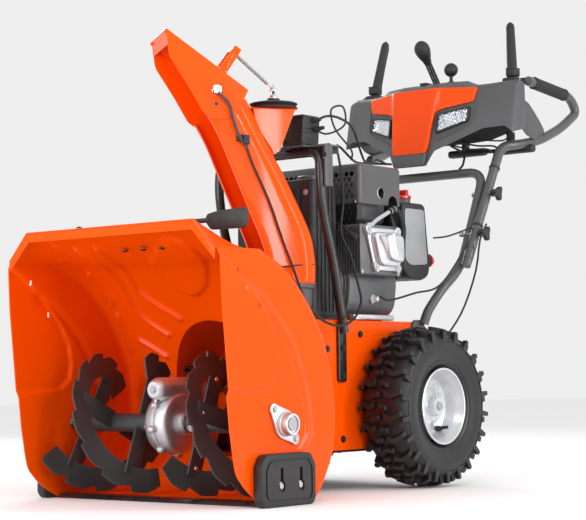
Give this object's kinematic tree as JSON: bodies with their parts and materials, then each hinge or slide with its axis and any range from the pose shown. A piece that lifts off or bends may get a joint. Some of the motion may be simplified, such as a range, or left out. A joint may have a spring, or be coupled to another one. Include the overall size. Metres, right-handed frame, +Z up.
{
  "type": "two stage snow blower",
  "caption": "Walk-behind two-stage snow blower: notched augers, impeller, turning chute with tilting deflector, lugged wheels, engine unit and lever console.",
  "frame": {"origin": "ground level under the middle of the bounding box", "axes": "+Z up, the intake faces -Y, the operator stands at +Y, +X is the operator's left, the side the valve cover faces"},
  "size_m": [0.67, 1.5309, 1.1885],
  "materials": {
    "orange_paint": "gloss powder coat",
    "orange_plastic": "moulded gloss",
    "black_paint": "satin black paint",
    "grey_paint": "satin dark grey paint",
    "black_plastic": "fine moulded grain",
    "grey_plastic": "fine moulded grain",
    "steel": "machined",
    "cast_aluminium": "sand cast",
    "silver_paint": "metallic silver paint",
    "rubber": "matt",
    "tyre_rubber": "matt moulded tread",
    "clear_lens": "clear lens over reflector",
    "red_plastic": "moulded gloss"
  },
  "bodies": {
    "chassis": {"housing_wrap": "orange_paint", "side_panel_left": "orange_paint", "side_panel_right": "orange_paint", "scraper_bar": "black_paint", "impeller_housing": "orange_paint", "chute_collar": "grey_plastic", "bearing_left": "cast_aluminium", "bearing_right": "cast_aluminium", "gearbox": "cast_aluminium", "frame_shell": "orange_paint", "frame_bottom_cover": "black_paint", "belt_cover": "black_plastic", "auger_belt": "rubber", "engine_block": "cast_aluminium", "valve_cover": "cast_aluminium", "muffler": "grey_paint", "muffler_guard": "grey_paint", "engine_shroud": "black_plastic", "fuel_tank": "grey_plastic", "chute_hoop": "black_paint", "cable_bracket": "grey_paint", "cable_head": "black_plastic", "lower_handle": "grey_paint", "upper_handle_left": "grey_paint", "upper_handle_right": "grey_paint", "dash_shell": "grey_plastic", "dash_front": "orange_plastic", "headlamp_left": "clear_lens", "headlamp_right": "clear_lens", "deflector_cable": "black_plastic", "rotation_cable": "black_plastic", "drive_cable": "black_plastic"},
    "wheels": {"axle": "steel", "rim_left": "silver_paint", "rim_right": "silver_paint", "tyre_left": "tyre_rubber", "tyre_right": "tyre_rubber"},
    "auger": {"auger_shaft": "steel", "auger_left": "black_paint", "auger_right": "black_paint"},
    "impeller": {"impeller_shaft": "steel", "impeller": "black_paint", "auger_pulley": "steel"},
    "crank": {"engine_pulley": "steel"},
    "hex_shaft": {"hex_shaft": "steel"},
    "drive_disc": {"drive_disc": "steel"},
    "chute": {"chute": "orange_paint", "rotation_pulley": "black_plastic"},
    "deflector": {"deflector": "orange_paint"},
    "skid_left": {"skid_left": "black_plastic"},
    "skid_right": {"skid_right": "black_plastic"},
    "handle_knob_left": {"handle_knob_left": "black_plastic"},
    "handle_knob_right": {"handle_knob_right": "black_plastic"},
    "clutch_lever_left": {"clutch_lever_left": "black_plastic"},
    "clutch_lever_right": {"clutch_lever_right": "black_plastic"},
    "speed_lever": {"speed_lever": "black_paint"},
    "joystick": {"joystick": "black_plastic"},
    "fuel_cap": {"fuel_cap": "red_plastic"},
    "primer_button": {"primer_button": "red_plastic"},
    "cleanout_tool": {"cleanout_tool": "black_plastic"}
  },
  "joints": [
    {"name": "wheel_spin", "type": "hinge", "parent": "chassis", "child": "wheels", "pos_m": [0, 0.0874, 0.1905], "axis": [1, 0, 0], "continuous": true},
    {"name": "impeller_spin", "type": "hinge", "parent": "chassis", "child": "impeller", "pos_m": [0, -0.3226, 0.24], "axis": [0, 1, 0], "continuous": true},
    {"name": "auger_spin", "type": "hinge", "parent": "chassis", "child": "auger", "pos_m": [0, -0.5596, 0.167], "axis": [1, 0, 0], "continuous": true},
    {"name": "crank_spin", "type": "hinge", "parent": "chassis", "child": "crank", "pos_m": [0, -0.1826, 0.56], "axis": [0, 1, 0], "continuous": true},
    {"name": "hex_shaft_spin", "type": "hinge", "parent": "chassis", "child": "hex_shaft", "pos_m": [0, 0.0274, 0.258], "axis": [1, 0, 0], "continuous": true},
    {"name": "drive_disc_spin", "type": "hinge", "parent": "chassis", "child": "drive_disc", "pos_m": [0, -0.1126, 0.258], "axis": [0, 1, 0], "continuous": true},
    {"name": "chute_rotate", "type": "hinge", "parent": "chassis", "child": "chute", "pos_m": [0.087, -0.3126, 0.476], "axis": [0, 0, 1], "range_deg": [-45, 115], "deforming": ["deflector_cable"]},
    {"name": "deflector_tilt", "type": "hinge", "parent": "chute", "child": "deflector", "pos_m": [-0.00018, -0.43711, 0.9], "axis": [0.8192, -0.5736, 0], "range_deg": [0, 40]},
    {"name": "skid_left_adjust", "type": "slide", "parent": "chassis", "child": "skid_left", "axis": [0, 0, -1], "range_m": [0, 0.035]},
    {"name": "skid_right_adjust", "type": "slide", "parent": "chassis", "child": "skid_right", "axis": [0, 0, -1], "range_m": [0, 0.035]},
    {"name": "handle_knob_left_turn", "type": "hinge", "parent": "chassis", "child": "handle_knob_left", "pos_m": [0.236, 0.3924, 0.722], "axis": [1, 0, 0], "continuous": true},
    {"name": "handle_knob_right_turn", "type": "hinge", "parent": "chassis", "child": "handle_knob_right", "pos_m": [-0.236, 0.3924, 0.722], "axis": [-1, 0, 0], "continuous": true},
    {"name": "clutch_lever_left_press", "type": "hinge", "parent": "chassis", "child": "clutch_lever_left", "pos_m": [0.22, 0.5074, 1.045], "axis": [-1, 0, 0], "range_deg": [0, 75], "stiffness_Nm_per_rad": 0.8, "springref_deg": -11.46},
    {"name": "clutch_lever_right_press", "type": "hinge", "parent": "chassis", "child": "clutch_lever_right", "pos_m": [-0.22, 0.5074, 1.045], "axis": [-1, 0, 0], "range_deg": [0, 75], "stiffness_Nm_per_rad": 0.8, "springref_deg": -11.46},
    {"name": "speed_lever_shift", "type": "hinge", "parent": "chassis", "child": "speed_lever", "pos_m": [0, 0.4874, 1.036], "axis": [-1, 0, 0], "range_deg": [-10, 60]},
    {"name": "joystick_side", "type": "hinge", "parent": "chassis", "child": "joystick", "pos_m": [0.055, 0.4694, 1.036], "axis": [0, 1, 0], "range_deg": [-25, 25]},
    {"name": "fuel_cap_turn", "type": "hinge", "parent": "chassis", "child": "fuel_cap", "pos_m": [0.105, 0.1594, 0.7], "axis": [0, 0, 1], "range_deg": [0, 90]},
    {"name": "primer_press", "type": "slide", "parent": "chassis", "child": "primer_button", "axis": [0, -1, 0], "range_m": [0, 0.0035], "stiffness_N_per_m": 600, "springref_m": -0.002},
    {"name": "cleanout_tool_lift", "type": "slide", "parent": "chassis", "child": "cleanout_tool", "axis": [0, 0, 1], "range_m": [0, 0.1]}
  ],
  "couplings": [
    {"joint": "auger_spin", "follows": "impeller_spin", "ratio": 0.1},
    {"joint": "crank_spin", "follows": "impeller_spin", "ratio": 2.5714},
    {"joint": "drive_disc_spin", "follows": "impeller_spin", "ratio": 1.5517},
    {"joint": "hex_shaft_spin", "follows": "wheel_spin", "ratio": -3.6458}
  ]
}
